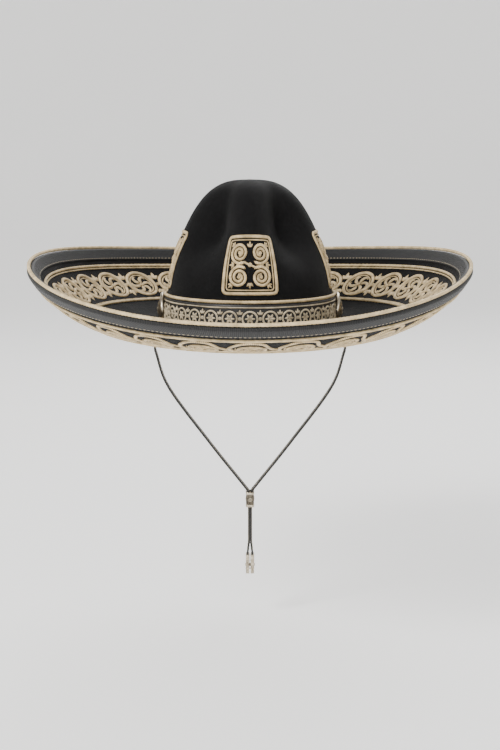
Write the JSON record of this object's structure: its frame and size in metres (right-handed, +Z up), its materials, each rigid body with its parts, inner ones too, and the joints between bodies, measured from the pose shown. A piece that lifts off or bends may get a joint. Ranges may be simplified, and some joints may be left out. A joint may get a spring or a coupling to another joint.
{
  "type": "sombrero",
  "caption": "Wide-brimmed stiff felt sombrero with a tall four-dent crown, scroll applique, a trimmed band, side conchos and a swinging, adjustable chin strap.",
  "frame": {"origin": "centre of the head opening, in the plane where the crown meets the brim", "axes": "+Z up along the crown, -Y the way the wearer faces, +X the wearer's left"},
  "size_m": [0.4842, 0.544, 0.445],
  "materials": {
    "felt": "black wool felt, short matt nap",
    "binding": "black ribbed grosgrain ribbon",
    "applique": "cream couched cord embroidery, slightly lustrous",
    "cord": "twisted cream cord",
    "satin": "old-gold satin",
    "band_leather": "black leather with cream stitching",
    "strap_leather": "black strap leather, waxed edges",
    "sweat_leather": "brown sweatband leather",
    "silver": "antique silver, darkened in the recesses",
    "steel": "plain drawn steel"
  },
  "bodies": {
    "hat": {"crown_felt": "felt", "brim_felt": "felt", "underbrim_facing": "felt", "edge_binding": "binding", "brim_wire": "steel", "edge_cord": "cord", "crown_lining_side": "satin", "crown_lining_tip": "satin", "sweatband": "sweat_leather", "sweatband_reed": "sweat_leather", "sweatband_bow": "satin", "hat_band": "band_leather", "band_cord_lower": "cord", "band_cord_upper": "cord", "concho_left": "silver", "concho_right": "silver", "concho_nut_left": "steel", "concho_nut_right": "steel", "brim_greca_top": "applique", "brim_greca_under": "applique", "crown_greca_front": "applique", "crown_greca_back": "applique", "crown_greca_left": "applique", "crown_greca_right": "applique", "strap_stud_left": "silver", "strap_stud_right": "silver", "strap_lug_left": "silver", "strap_lug_right": "silver"},
    "chin_strap": {"chin_strap_left": "strap_leather", "chin_strap_right": "strap_leather", "strap_rivet_left": "silver", "strap_rivet_right": "silver", "strap_tip_left": "silver", "strap_tip_right": "silver"},
    "slider": {"strap_slider": "silver"}
  },
  "joints": [
    {"name": "chin_strap_swing", "type": "hinge", "parent": "hat", "child": "chin_strap", "pos_m": [0, 0, -0.01375], "axis": [1, 0, 0], "range_deg": [-80, 80]},
    {"name": "slider_slide", "type": "slide", "parent": "chin_strap", "child": "slider", "axis": [0, 0, -1], "range_m": [0, 0.04]}
  ]
}
